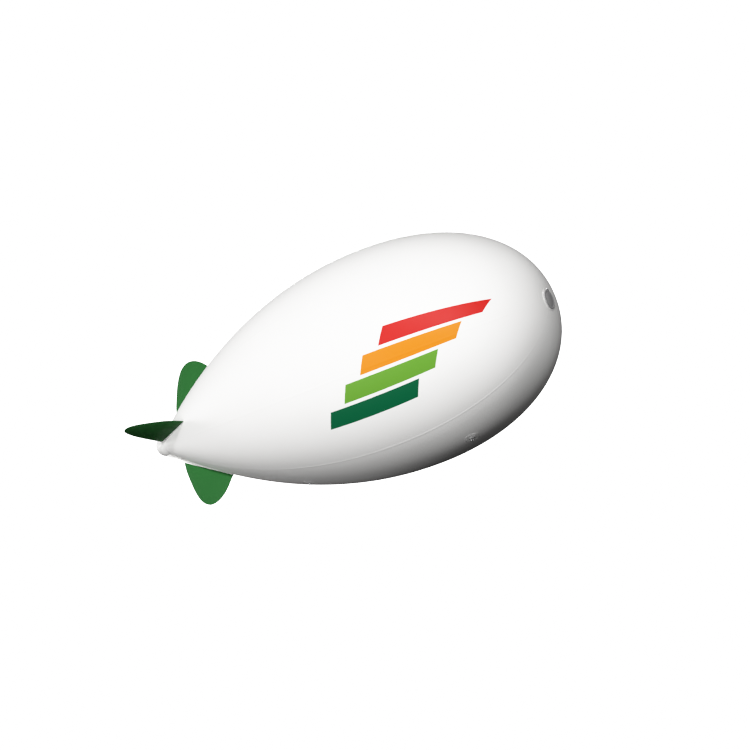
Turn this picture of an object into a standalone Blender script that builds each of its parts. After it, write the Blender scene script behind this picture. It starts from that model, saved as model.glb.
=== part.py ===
"""Advertising blimp balloon: a white gored envelope with four green fins, white root webs, a hinged grey
nose disc over the filling port, and two D-rings on the belly for the tether bridle.

Metres, +Z up, nose along +X. Stations are measured forward from the tail tip, and the row's origin is
the centre of buoyancy, on the envelope's axis at ORIGIN_STATION.
"""

import math

import bmesh
import bpy
from mathutils import Matrix, Vector

# Envelope
LENGTH = 4.0
MAX_RADIUS = 0.98
MAX_STATION = 2.5
NOSE_POWER = 2.17
TAIL_CAP_RADIUS = 0.094
TAIL_CAP_END = 0.125
WALL = 0.010
ORIGIN_STATION = 2.32
GAP = 0.0003
GORE_COUNT = 8
GORE_STEPS = 6
REAR_STATIONS = 14
NOSE_STATIONS = 13
CAP_STEPS = 8
TURNED_SEGMENTS = 48
SHARP_ANGLE = 30.0
SLOPE_STEP = 1e-4
MERGE_DISTANCE = 1e-5
SAME_POINT = 1e-6
PORT_HOLE_RADIUS = 0.062

# Fins and their root webs
FIN_RIM_HALF = 0.004
FIN_MID_HALF = 0.020
FIN_RINGS = (0.85, 0.6, 0.3)
FIN_CURVE_SHARES = (0.0, 0.5)
FIN_ROOT_STEPS = 6
WEB_HALF = 0.006
WEB_CURVE_STEPS = 8

# Nose port and cover, radii and the stations of its flat faces
DOUBLER_RADIUS = 0.100
DOUBLER_THICKNESS = 0.002
DOUBLER_CLEARANCE = 0.0015
DOUBLER_STEPS = 4
PORT_BORE = 0.050
PORT_TUBE_RADIUS = 0.056
PORT_FLANGE_RADIUS = 0.080
PORT_FLANGE_BACK = LENGTH + 0.0010
PORT_FLANGE_THICKNESS = 0.003
PORT_TUBE_DEPTH = 0.035
COVER_RADIUS = 0.084
COVER_THICKNESS = 0.004
COVER_EDGE = 0.0012
COVER_BACK = PORT_FLANGE_BACK + PORT_FLANGE_THICKNESS + GAP
HINGE_STATION = COVER_BACK + COVER_THICKNESS / 2.0
HINGE_RISE = 0.006
HINGE_HEIGHT = COVER_RADIUS + HINGE_RISE
HINGE_RADIUS = 0.0045
PIN_RADIUS = 0.0020
PIN_OVERHANG = 0.002
BORE_HALF = 0.04
KNUCKLE_HALF = 0.0120
NECK_INSET = 0.001
NECK_OVERLAP = 0.004
EAR_WIDTH = 0.006
EAR_BOTTOM = 0.072
EAR_SETBACK = 0.0002
ROD_SEGMENTS = 24

# Tether points on the belly line
PATCH_RADIUS = 0.070
PATCH_THICKNESS = 0.002
PATCH_SEGMENTS = 24
PATCH_RINGS = (0.5, 1.0)
LOOP_HALF_WIDTH = 0.0125
LOOP_THICKNESS = 0.002
LOOP_FOOT = 0.024
LOOP_INNER_RADIUS = 0.0036
LOOP_ARC_STEPS = 8
RING_HALF_WIDTH = 0.022
RING_DROP = 0.038
RING_SECTION = 0.005
RING_HALF_THICKNESS = 0.002
RING_CORNER = 0.007
RING_LEAST_CORNER = 0.002
RING_CORNER_STEPS = 3
RING_BOW_SHARE = 0.72
RING_BOW_STEPS = 6
RING_BEVEL = 0.0007
BEVEL_ANGLE = 60.0

# Roll angles turn a piece about the X axis, from the top towards the right side (-Y)
# columns: name, roll in degrees, outline
FINS = (
    ("top", 0.0, "upright"),
    ("right", 90.0, "level"),
    ("bottom", 180.0, "upright"),
    ("left", 270.0, "level"),
)

# columns: station, radius, from the trailing root corner round the tip to the leading root corner
FIN_OUTLINES = {
    "upright": (
        (0.244, 0.215),
        (0.251, 0.300),
        (0.272, 0.395),
        (0.302, 0.505),
        (0.342, 0.597),
        (0.385, 0.650),
        (0.445, 0.679),
        (0.515, 0.670),
        (0.580, 0.634),
        (0.635, 0.583),
        (0.680, 0.525),
        (0.712, 0.484),
    ),
    "level": (
        (0.120, 0.118),
        (0.106, 0.170),
        (0.084, 0.265),
        (0.060, 0.380),
        (0.046, 0.500),
        (0.054, 0.605),
        (0.090, 0.660),
        (0.144, 0.681),
        (0.208, 0.669),
        (0.284, 0.628),
        (0.360, 0.576),
        (0.430, 0.518),
        (0.486, 0.441),
        (0.520, 0.372),
    ),
}

# Aft edge of a root web: the two control points of its curve, as station and radius, and the station of
# its end on the tail cap
WEB_TAIL_CURVES = {
    "upright": ((0.222, 0.172), (0.150, 0.143), 0.058),
    "level": ((0.112, 0.100), (0.095, 0.098), 0.070),
}
WEB_END_HEIGHT = 0.0015

# columns: name, roll in degrees
GORES = (
    ("gore_top", 0.0),
    ("gore_upper_right", 45.0),
    ("gore_right", 90.0),
    ("gore_lower_right", 135.0),
    ("gore_bottom", 180.0),
    ("gore_lower_left", 225.0),
    ("gore_left", 270.0),
    ("gore_upper_left", 315.0),
)

# columns: name, station
TETHERS = (
    ("fore", 3.05),
    ("aft", 1.45),
)

# columns: name, colour, roughness, metallic
FINISHES = (
    ("white_film", (0.86, 0.86, 0.87), 0.35, 0.0),
    ("green_film", (0.025, 0.135, 0.032), 0.40, 0.0),
    ("grey_plastic", (0.22, 0.22, 0.23), 0.45, 0.0),
    ("white_webbing", (0.80, 0.80, 0.80), 0.80, 0.0),
    ("bright_steel", (0.62, 0.63, 0.65), 0.30, 1.0),
)

for old in list(bpy.data.objects):
    bpy.data.objects.remove(old)

parts = bpy.data.collections.new("advertising_blimp_balloon")
cutters = bpy.data.collections.new("cutters")
bpy.context.scene.collection.children.link(parts)
bpy.context.scene.collection.children.link(cutters)

finishes = {}
for finish_name, colour, roughness, metallic in FINISHES:
    finish = bpy.data.materials.new(finish_name)
    finish.use_nodes = True
    shader = finish.node_tree.nodes["Principled BSDF"]
    shader.inputs["Base Color"].default_value = (*colour, 1.0)
    shader.inputs["Roughness"].default_value = roughness
    shader.inputs["Metallic"].default_value = metallic
    finishes[finish_name] = finish


def envelope_radius(station):
    """Outer radius of the envelope: a parabola behind the widest station, a superellipse ahead of it."""
    if station <= MAX_STATION:
        return MAX_RADIUS * (1.0 - ((MAX_STATION - station) / MAX_STATION) ** 2)
    share = (station - MAX_STATION) / (LENGTH - MAX_STATION)
    return MAX_RADIUS * max(0.0, 1.0 - share**NOSE_POWER) ** (1.0 / NOSE_POWER)


def nose_station(radius):
    """Station ahead of the widest one where the envelope has this radius."""
    share = (1.0 - (radius / MAX_RADIUS) ** NOSE_POWER) ** (1.0 / NOSE_POWER)
    return MAX_STATION + (LENGTH - MAX_STATION) * share


def profile_normal(station):
    """Outward normal of the envelope's profile, as (along the axis, away from the axis)."""
    rise = envelope_radius(station + SLOPE_STEP) - envelope_radius(station - SLOPE_STEP)
    slope = rise / (2.0 * SLOPE_STEP)
    size = math.hypot(1.0, slope)
    return -slope / size, 1.0 / size


def offset_point(station, distance):
    """Point of the profile moved outwards along its normal, as (station, radius)."""
    along, out = profile_normal(station)
    return station + along * distance, envelope_radius(station) + out * distance


def rolled(station, radius, sideways, roll):
    """A point given in the plane of a roll angle, in the row frame; sideways is along the roll's sense."""
    angle = math.radians(roll)
    out = Vector((0.0, -math.sin(angle), math.cos(angle)))
    across = Vector((0.0, -math.cos(angle), -math.sin(angle)))
    return Vector((station - ORIGIN_STATION, 0.0, 0.0)) + out * radius + across * sideways


def add_object(name, mesh, finish_name, collection=parts):
    piece = bpy.data.objects.new(name, mesh)
    collection.objects.link(piece)
    if finish_name:
        mesh.materials.clear()
        mesh.materials.append(finishes[finish_name])
    return piece


def mesh_from_bmesh(name, bm, smooth=True):
    bmesh.ops.recalc_face_normals(bm, faces=bm.faces)
    mesh = bpy.data.meshes.new(name)
    bm.to_mesh(mesh)
    bm.free()
    if smooth:
        mesh.shade_smooth()
        mesh.set_sharp_from_angle(angle=math.radians(SHARP_ANGLE))
    return mesh


def solid_from_object(piece):
    """Replaces a curve or a modified object by the plain mesh that it evaluates to."""
    bpy.context.view_layer.update()
    graph = bpy.context.evaluated_depsgraph_get()
    mesh = bpy.data.meshes.new_from_object(piece.evaluated_get(graph))
    bm = bmesh.new()
    bm.from_mesh(mesh)
    bmesh.ops.remove_doubles(bm, verts=bm.verts, dist=MERGE_DISTANCE)
    bm.to_mesh(mesh)
    bm.free()
    solid = add_object(piece.name + "_solid", mesh, None)
    solid.matrix_world = piece.matrix_world.copy()
    name = piece.name
    bpy.data.objects.remove(piece)
    solid.name = name
    return solid


def set_origin(piece, point):
    """Moves a piece's origin to a point of the row frame and leaves its shape where it is."""
    piece.data.transform(Matrix.Translation(-point))
    piece.location = point


def subtract(target, cutter):
    cutter.hide_render = True
    cutter.display_type = "WIRE"
    cut = target.modifiers.new("cut", "BOOLEAN")
    cut.operation = "DIFFERENCE"
    cut.solver = "EXACT"
    cut.object = cutter


def unite(target, other):
    other.hide_render = True
    other.display_type = "WIRE"
    join = target.modifiers.new("join", "BOOLEAN")
    join.operation = "UNION"
    join.solver = "EXACT"
    join.object = other


def box(name, low, high, collection, finish_name=None):
    """A box between two corners given as (station, y, z)."""
    bm = bmesh.new()
    bmesh.ops.create_cube(bm, size=1.0)
    size = Vector(high) - Vector(low)
    middle = (Vector(high) + Vector(low)) / 2.0 - Vector((ORIGIN_STATION, 0.0, 0.0))
    bmesh.ops.scale(bm, vec=size, verts=bm.verts)
    bmesh.ops.translate(bm, vec=middle, verts=bm.verts)
    return add_object(name, mesh_from_bmesh(name, bm, smooth=False), finish_name, collection)


def hinge_point():
    """Middle of the cover's hinge, on the plane of symmetry."""
    return Vector((HINGE_STATION - ORIGIN_STATION, 0.0, HINGE_HEIGHT))


def hinge_rod(name, radius, half_length, collection, finish_name=None):
    """A cylinder on the hinge's axis, along Y and centred on the plane of symmetry."""
    bm = bmesh.new()
    bmesh.ops.create_cone(
        bm,
        cap_ends=True,
        segments=ROD_SEGMENTS,
        radius1=radius,
        radius2=radius,
        depth=2.0 * half_length,
        matrix=Matrix.Translation(hinge_point()) @ Matrix.Rotation(math.pi / 2.0, 4, "X"),
    )
    return add_object(name, mesh_from_bmesh(name, bm), finish_name, collection)


def turned(name, profile, finish_name, segments=TURNED_SEGMENTS):
    """A closed or on-axis profile of (station, radius) turned about the envelope's axis."""
    closed = profile[0][1] > 0.0
    mesh = bpy.data.meshes.new(name)
    count = len(profile)
    edges = [(i, i + 1) for i in range(count - 1)]
    if closed:
        edges.append((count - 1, 0))
    mesh.from_pydata([(s - ORIGIN_STATION, 0.0, r) for s, r in profile], edges, [])
    piece = add_object(name, mesh, finish_name)
    screw = piece.modifiers.new("turn", "SCREW")
    screw.axis = "X"
    screw.steps = segments
    screw.render_steps = segments
    screw.use_merge_vertices = True
    screw.merge_threshold = MERGE_DISTANCE
    screw.use_normal_calculate = True
    solid = solid_from_object(piece)
    bm = bmesh.new()
    bm.from_mesh(solid.data)
    bmesh.ops.recalc_face_normals(bm, faces=bm.faces)
    bm.to_mesh(solid.data)
    bm.free()
    solid.data.shade_smooth()
    solid.data.set_sharp_from_angle(angle=math.radians(SHARP_ANGLE))
    return solid


def gore_stations():
    """Ring stations of the gores, from the tail cap to the port hole."""
    rear_length = MAX_STATION - TAIL_CAP_END
    rear = [TAIL_CAP_END + rear_length * i / REAR_STATIONS for i in range(REAR_STATIONS)]
    end_angle = math.acos(PORT_HOLE_RADIUS / MAX_RADIUS)
    front = []
    for i in range(NOSE_STATIONS + 1):
        angle = end_angle * i / NOSE_STATIONS
        front.append(nose_station(MAX_RADIUS * math.cos(angle)))
    return rear + front


def cap_profile():
    """The tail cap's outside, from the tip to its lip."""
    profile = []
    for i in range(CAP_STEPS + 1):
        angle = math.pi / 2 * i / CAP_STEPS
        profile.append((TAIL_CAP_RADIUS * (1.0 - math.cos(angle)), TAIL_CAP_RADIUS * math.sin(angle)))
    profile.append((TAIL_CAP_END - GAP, envelope_radius(TAIL_CAP_END)))
    return profile


def skin_profile():
    """Outside of the cap and the gores as one line of (station, radius)."""
    return cap_profile() + [(s, envelope_radius(s)) for s in gore_stations()]


def skin_radius(station):
    line = skin_profile()
    for (s0, r0), (s1, r1) in zip(line, line[1:]):
        if s0 <= station <= s1:
            return r0 + (r1 - r0) * (station - s0) / (s1 - s0)
    return line[-1][1]


def make_gore(name, roll):
    """One lengthwise panel of the shell, with a seam gap of constant width to its neighbours."""
    stations = gore_stations()
    outer = [(s, envelope_radius(s)) for s in stations]
    inner = [offset_point(s, -WALL) for s in stations]
    inner[0] = (stations[0], inner[0][1])
    bm = bmesh.new()
    layers = []
    for layer in (outer, inner):
        rows = []
        for station, radius in layer:
            half = math.pi / GORE_COUNT - GAP / 2.0 / radius
            row = []
            for step in range(GORE_STEPS + 1):
                angle = math.degrees(half * (2.0 * step / GORE_STEPS - 1.0))
                row.append(bm.verts.new(rolled(station, radius, 0.0, roll + angle)))
            rows.append(row)
        layers.append(rows)
    top, under = layers
    for i in range(len(stations) - 1):
        for j in range(GORE_STEPS):
            bm.faces.new((top[i][j], top[i][j + 1], top[i + 1][j + 1], top[i + 1][j]))
            bm.faces.new((under[i][j], under[i + 1][j], under[i + 1][j + 1], under[i][j + 1]))
        for j in (0, GORE_STEPS):
            bm.faces.new((top[i][j], top[i + 1][j], under[i + 1][j], under[i][j]))
    for i in (0, len(stations) - 1):
        for j in range(GORE_STEPS):
            bm.faces.new((top[i][j], under[i][j], under[i][j + 1], top[i][j + 1]))
    return add_object(name, mesh_from_bmesh(name, bm), "white_film")


def make_tail_cap():
    """The rounded end that closes the gores, a cup with its mouth forwards."""
    profile = cap_profile()
    mouth, lip = profile[-1]
    profile.append((mouth, lip - WALL))
    inner = TAIL_CAP_RADIUS - WALL
    for i in range(CAP_STEPS, -1, -1):
        angle = math.pi / 2 * i / CAP_STEPS
        profile.append((TAIL_CAP_RADIUS - inner * math.cos(angle), inner * math.sin(angle)))
    return turned("tail_cap", profile, "white_film", segments=GORE_COUNT * GORE_STEPS)


def fin_rim(outline):
    """Points of a fin's edge: a smooth curve through the table's points, then the straight root."""
    points = FIN_OUTLINES[outline]
    rim = []
    last = len(points) - 1
    for i in range(last):
        before = Vector(points[max(i - 1, 0)])
        a = Vector(points[i])
        b = Vector(points[i + 1])
        after = Vector(points[min(i + 2, last)])
        for t in FIN_CURVE_SHARES:
            start_pull = (b - before) * 0.5
            end_pull = (after - a) * 0.5
            h1 = 2 * t**3 - 3 * t**2 + 1
            h2 = t**3 - 2 * t**2 + t
            h3 = -2 * t**3 + 3 * t**2
            h4 = t**3 - t**2
            rim.append(a * h1 + start_pull * h2 + b * h3 + end_pull * h4)
    lead = Vector(points[last])
    trail = Vector(points[0])
    for i in range(FIN_ROOT_STEPS):
        rim.append(lead.lerp(trail, i / FIN_ROOT_STEPS))
    return rim


def make_fin(name, roll, outline):
    """A leaf-shaped pillow, thickest in the middle, with a thin flat rim."""
    rim = fin_rim(outline)
    middle = sum(rim, Vector((0.0, 0.0))) / len(rim)
    bm = bmesh.new()
    rings = {}
    for side in (1, -1):
        rings[side] = []
        for share in (1.0, *FIN_RINGS):
            half = FIN_RIM_HALF + (FIN_MID_HALF - FIN_RIM_HALF) * (1.0 - share**2)
            ring = []
            for point in rim:
                station, radius = middle.lerp(point, share)
                ring.append(bm.verts.new(rolled(station, radius, side * half, roll)))
            rings[side].append(ring)
        centre = bm.verts.new(rolled(middle.x, middle.y, side * FIN_MID_HALF, roll))
        count = len(rim)
        for ring, inner_ring in zip(rings[side], rings[side][1:]):
            for i in range(count):
                j = (i + 1) % count
                bm.faces.new((ring[i], ring[j], inner_ring[j], inner_ring[i]))
        for i in range(count):
            j = (i + 1) % count
            bm.faces.new((rings[side][-1][i], rings[side][-1][j], centre))
    for i in range(count):
        j = (i + 1) % count
        bm.faces.new((rings[1][0][i], rings[-1][0][i], rings[-1][0][j], rings[1][0][j]))
    return add_object(name, mesh_from_bmesh(name, bm), "green_film")


def web_outline(outline):
    """Edge of a root web: up the root under the fin, aft along its curve, and forward on the envelope."""
    points = FIN_OUTLINES[outline]
    trail = Vector(points[0])
    lead = Vector(points[-1])
    down = Vector((lead.y - trail.y, trail.x - lead.x)).normalized() * GAP
    edge = [lead + down, trail + down]
    first, second, end_station = WEB_TAIL_CURVES[outline]
    first = Vector(first)
    second = Vector(second)
    start = trail + down
    end = Vector((end_station, skin_radius(end_station) + GAP + WEB_END_HEIGHT))
    for i in range(1, WEB_CURVE_STEPS + 1):
        t = i / WEB_CURVE_STEPS
        point = start * (1 - t) ** 3 + first * 3 * t * (1 - t) ** 2
        edge.append(point + second * 3 * t**2 * (1 - t) + end * t**3)
    foot = [s for s, _ in skin_profile() if end_station < s < lead.x]
    for station in [end_station, *foot, lead.x]:
        edge.append(Vector((station, skin_radius(station) + GAP)))
    return edge


def flat_piece(name, loops, half_thickness, place, finish_name, bevel=0.0):
    """A flat outline with thickness: each loop is a list of points in the XY plane of the given matrix."""
    curve = bpy.data.curves.new(name, "CURVE")
    curve.dimensions = "2D"
    curve.fill_mode = "BOTH"
    curve.extrude = half_thickness
    for loop in loops:
        spline = curve.splines.new("POLY")
        spline.points.add(len(loop) - 1)
        for control, point in zip(spline.points, loop):
            control.co = (point[0], point[1], 0.0, 1.0)
        spline.use_cyclic_u = True
    piece = add_object(name, curve, finish_name)
    piece.matrix_world = place
    solid = solid_from_object(piece)
    if bevel > 0.0:
        rounding = solid.modifiers.new("edges", "BEVEL")
        rounding.width = bevel
        rounding.segments = 1
        rounding.limit_method = "ANGLE"
        rounding.angle_limit = math.radians(BEVEL_ANGLE)
    return solid


def radial_plane(roll):
    """Matrix that stands a station-radius drawing up in the plane of a roll angle."""
    out = rolled(ORIGIN_STATION, 1.0, 0.0, roll)
    along = Vector((1.0, 0.0, 0.0))
    across = along.cross(out)
    matrix = Matrix((along, out, across)).transposed().to_4x4()
    matrix.translation = Vector((-ORIGIN_STATION, 0.0, 0.0))
    return matrix


def make_web(name, roll, outline):
    return flat_piece(name, [web_outline(outline)], WEB_HALF, radial_plane(roll), "white_film")


def make_nose_doubler():
    """A ring of doubled film that follows the nose round the port."""
    inner_radius = PORT_TUBE_RADIUS + DOUBLER_CLEARANCE
    width = DOUBLER_RADIUS - inner_radius
    stations = [nose_station(inner_radius + width * i / DOUBLER_STEPS) for i in range(DOUBLER_STEPS + 1)]
    profile = [offset_point(s, GAP + DOUBLER_THICKNESS) for s in stations]
    profile += [offset_point(s, GAP) for s in reversed(stations)]
    return turned("nose_doubler", profile, "white_film")


def make_port_ring():
    """Flanged tube through the nose hole, with two ears for the cover's hinge."""
    front = PORT_FLANGE_BACK + PORT_FLANGE_THICKNESS
    profile = [
        (front, PORT_BORE),
        (front, PORT_FLANGE_RADIUS),
        (PORT_FLANGE_BACK, PORT_FLANGE_RADIUS),
        (PORT_FLANGE_BACK, PORT_TUBE_RADIUS),
        (front - PORT_TUBE_DEPTH, PORT_TUBE_RADIUS),
        (front - PORT_TUBE_DEPTH, PORT_BORE),
    ]
    ring = turned("port_ring", profile, "grey_plastic")
    inside = KNUCKLE_HALF + GAP
    for side in (-1, 1):
        y_values = sorted((side * inside, side * (inside + EAR_WIDTH)))
        ear = box(
            "ear_block",
            (PORT_FLANGE_BACK, y_values[0], EAR_BOTTOM),
            (front - EAR_SETBACK, y_values[1], HINGE_HEIGHT),
            cutters,
        )
        unite(ring, ear)
        boss = hinge_rod("ear_boss", HINGE_RADIUS, EAR_WIDTH / 2.0, cutters)
        boss.location.y = side * (inside + EAR_WIDTH / 2.0)
        unite(ring, boss)
    subtract(ring, hinge_rod("ear_bore", PIN_RADIUS + GAP, BORE_HALF, cutters))


def make_nose_disc():
    """The flat grey cover with its hinge knuckle above the rim."""
    front = COVER_BACK + COVER_THICKNESS
    profile = [
        (front, 0.0),
        (front, COVER_RADIUS - COVER_EDGE),
        (front - COVER_EDGE, COVER_RADIUS),
        (COVER_BACK, COVER_RADIUS),
        (COVER_BACK, 0.0),
    ]
    disc = turned("nose_disc", profile, "grey_plastic")
    set_origin(disc, hinge_point())
    neck_half = KNUCKLE_HALF - NECK_INSET
    neck = box(
        "knuckle_neck",
        (COVER_BACK, -neck_half, COVER_RADIUS - NECK_OVERLAP),
        (front - NECK_INSET, neck_half, HINGE_HEIGHT),
        cutters,
    )
    unite(disc, neck)
    unite(disc, hinge_rod("knuckle_barrel", HINGE_RADIUS, KNUCKLE_HALF, cutters))
    subtract(disc, hinge_rod("knuckle_bore", PIN_RADIUS + GAP, BORE_HALF, cutters))


def tether_frame(station):
    """Matrix on the belly line: X along the envelope towards the nose, Y out of it, Z across."""
    along, out = profile_normal(station)
    origin = Vector((station - ORIGIN_STATION, 0.0, -envelope_radius(station)))
    outward = Vector((along, 0.0, -out))
    forward = Vector((out, 0.0, along))
    across = forward.cross(outward)
    matrix = Matrix((forward, outward, across)).transposed().to_4x4()
    matrix.translation = origin
    return matrix


def patch_point(station, reach, angle, height):
    """A point over the belly, given by its distance and direction from the patch's centre."""
    _, out = profile_normal(station)
    here, radius = offset_point(station + reach * math.cos(angle) * out, height)
    swing = math.degrees(reach * math.sin(angle) / envelope_radius(station))
    return rolled(here, radius, 0.0, 180.0 + swing)


def make_patch(name, station):
    """A round doubler that follows the envelope."""
    bm = bmesh.new()
    rims = []
    for height in (GAP, GAP + PATCH_THICKNESS):
        centre = bm.verts.new(patch_point(station, 0.0, 0.0, height))
        rows = []
        for share in PATCH_RINGS:
            row = []
            for k in range(PATCH_SEGMENTS):
                angle = 2.0 * math.pi * k / PATCH_SEGMENTS
                row.append(bm.verts.new(patch_point(station, PATCH_RADIUS * share, angle, height)))
            rows.append(row)
        for k in range(PATCH_SEGMENTS):
            j = (k + 1) % PATCH_SEGMENTS
            bm.faces.new((centre, rows[0][k], rows[0][j]))
            for inner_row, outer_row in zip(rows, rows[1:]):
                bm.faces.new((inner_row[k], outer_row[k], outer_row[j], inner_row[j]))
        rims.append(rows[-1])
    for k in range(PATCH_SEGMENTS):
        j = (k + 1) % PATCH_SEGMENTS
        bm.faces.new((rims[0][k], rims[0][j], rims[1][j], rims[1][k]))
    return add_object(name, mesh_from_bmesh(name, bm), "white_film")


def loop_base():
    """Height of the webbing's underside over the envelope."""
    return GAP + PATCH_THICKNESS + GAP


def loop_outline():
    """Side view of the webbing: two feet on the patch and a hump over the ring's bar."""
    base = loop_base()
    bar = base + LOOP_INNER_RADIUS
    outer_radius = LOOP_INNER_RADIUS + LOOP_THICKNESS
    outer = [(-LOOP_FOOT, base + LOOP_THICKNESS), (-outer_radius, base + LOOP_THICKNESS)]
    for i in range(LOOP_ARC_STEPS + 1):
        angle = math.pi * (1.0 - i / LOOP_ARC_STEPS)
        outer.append((outer_radius * math.cos(angle), bar + outer_radius * math.sin(angle)))
    outer += [(outer_radius, base + LOOP_THICKNESS), (LOOP_FOOT, base + LOOP_THICKNESS), (LOOP_FOOT, base)]
    inner = [(LOOP_INNER_RADIUS, base)]
    for i in range(LOOP_ARC_STEPS + 1):
        angle = math.pi * i / LOOP_ARC_STEPS
        inner.append((LOOP_INNER_RADIUS * math.cos(angle), bar + LOOP_INNER_RADIUS * math.sin(angle)))
    inner += [(-LOOP_INNER_RADIUS, base), (-LOOP_FOOT, base)]
    points = []
    for point in outer + inner:
        if not points or (Vector(point) - Vector(points[-1])).length > SAME_POINT:
            points.append(point)
    return points


def ring_outline(shrink):
    """A D: its bar lies on y = 0 and its bow reaches down, drawn inside the outer edge by shrink."""
    half = RING_HALF_WIDTH - shrink
    top = RING_SECTION / 2.0 - shrink
    bottom = -RING_DROP + shrink
    corner = max(RING_CORNER - shrink, RING_LEAST_CORNER)
    bow = half * RING_BOW_SHARE
    flat = half - bow
    points = []
    # columns: centre across, centre down, radius, first angle, steps
    for cx, cy, radius, first, steps in (
        (half - corner, top - corner, corner, 0.0, RING_CORNER_STEPS),
        (-half + corner, top - corner, corner, 90.0, RING_CORNER_STEPS),
        (-flat, bottom + bow, bow, 180.0, RING_BOW_STEPS),
        (flat, bottom + bow, bow, 270.0, RING_BOW_STEPS),
    ):
        for i in range(steps + 1):
            angle = math.radians(first + 90.0 * i / steps)
            points.append((cx + radius * math.cos(angle), cy + radius * math.sin(angle)))
    return points


def make_tether(name, station):
    make_patch("tether_patch_" + name, station)
    frame = tether_frame(station)
    flat_piece("tether_loop_" + name, [loop_outline()], LOOP_HALF_WIDTH, frame, "white_webbing")
    bar = frame @ Vector((0.0, loop_base() + LOOP_INNER_RADIUS, 0.0))
    hang = Matrix.Translation(bar) @ Matrix(((0, 0, 1), (1, 0, 0), (0, 1, 0))).to_4x4()
    loops = [ring_outline(0.0), ring_outline(RING_SECTION)]
    flat_piece("tether_ring_" + name, loops, RING_HALF_THICKNESS, hang, "bright_steel", RING_BEVEL)


for gore_name, gore_roll in GORES:
    make_gore(gore_name, gore_roll)
make_tail_cap()
for fin_name, fin_roll, fin_outline in FINS:
    make_fin("fin_" + fin_name, fin_roll, fin_outline)
    make_web("web_" + fin_name, fin_roll, fin_outline)
make_nose_doubler()
make_port_ring()
make_nose_disc()
hinge_rod("hinge_pin", PIN_RADIUS, KNUCKLE_HALF + EAR_WIDTH + PIN_OVERHANG, parts, "bright_steel")
for tether_name, tether_station in TETHERS:
    make_tether(tether_name, tether_station)
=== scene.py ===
import math
from functools import partial
from itertools import accumulate

import bmesh
import bpy
from mathutils import Matrix, Vector


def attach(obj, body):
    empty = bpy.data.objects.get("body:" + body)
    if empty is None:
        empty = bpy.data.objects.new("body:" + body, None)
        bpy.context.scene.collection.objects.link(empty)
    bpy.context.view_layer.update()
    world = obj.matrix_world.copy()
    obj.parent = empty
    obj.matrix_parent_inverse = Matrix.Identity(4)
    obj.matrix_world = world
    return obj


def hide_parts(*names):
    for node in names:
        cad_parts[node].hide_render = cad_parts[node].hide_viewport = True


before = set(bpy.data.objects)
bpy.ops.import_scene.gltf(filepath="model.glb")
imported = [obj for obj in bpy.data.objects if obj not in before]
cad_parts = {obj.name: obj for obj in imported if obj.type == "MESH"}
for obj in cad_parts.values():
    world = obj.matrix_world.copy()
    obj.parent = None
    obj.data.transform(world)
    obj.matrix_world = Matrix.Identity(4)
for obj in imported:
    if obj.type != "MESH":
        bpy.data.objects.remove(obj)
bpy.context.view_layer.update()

# Metres, +Z up, nose along +X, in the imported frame. Stations run forward from the tail tip.

# Envelope
LENGTH = 4.0
MAX_RADIUS = 0.98
MAX_STATION = 2.5
NOSE_POWER = 2.17
ORIGIN_STATION = 2.32
WALL = 0.010
GORE_COUNT = 8
GORE_PUFF = 0.0015
SEAM_GAP = 0.0003
PORT_HOLE_RADIUS = 0.062
# Share of a gore's rings that lies behind the widest station
REAR_SHARE = 0.55

# Tail cap: a ball, the corner of its fillet, and the film that laps the gores, by its heights over them
TAIL_CAP_RADIUS = 0.094
TAIL_CAP_END = 0.125
CAP_CORNER = (0.119, TAIL_CAP_RADIUS + 0.0006)
CAP_LAP_START = TAIL_CAP_END + 0.012
CAP_LAP_END = TAIL_CAP_END + 0.032
CAP_LAP_EDGE = 0.001
CAP_START_HEIGHT = 0.0012
CAP_END_HEIGHT = 0.0010
CAP_UNDERSIDE = 0.0002

# Fins: half thicknesses, the welded rim and the puckers inside it
FIN_MID_HALF = 0.020
FIN_WELD_WIDTH = 0.012
FIN_WELD_HALF = 0.0022
# columns: distance from the outline, half thickness
FIN_EDGE = ((0.0, 0.0012), (0.0012, FIN_WELD_HALF), (0.0090, FIN_WELD_HALF))
# Rows of a fin's pillow, as shares of the way from its middle to the weld
FIN_SHARES = (1.0, 0.975, 0.94, 0.90, 0.85, 0.79, 0.72, 0.64, 0.55, 0.45, 0.35, 0.25, 0.15, 0.07)
FIN_CURVE_STEPS = 9
FIN_ROOT_STEPS = 40
PUCKER_HEIGHT = 0.0009
PUCKER_PITCH = 0.037
PUCKER_DRIFT = 23.0
PUCKER_SHARE = 0.93
PUCKER_SPREAD = 0.05

# Webs: half thicknesses of the film, the cord in its edge, the flare at its foot and its closed aft end
WEB_FILM_HALF = 0.0030
WEB_CORD_HALF = 0.006
WEB_CORD_REACH = 0.006
WEB_FLARE = 0.0060
WEB_FLARE_REACH = 0.004
WEB_END_HALF = 0.0008
WEB_CLOSING_ROWS = 9.0
WEB_LIFT = 0.0004
WEB_MIN_HEIGHT = 0.0005
WEB_END_HEIGHT = 0.0015
WEB_ROOT_STEPS = 60
WEB_TAIL_STEPS = 28
WEB_ACROSS_STEPS = 10

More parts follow.
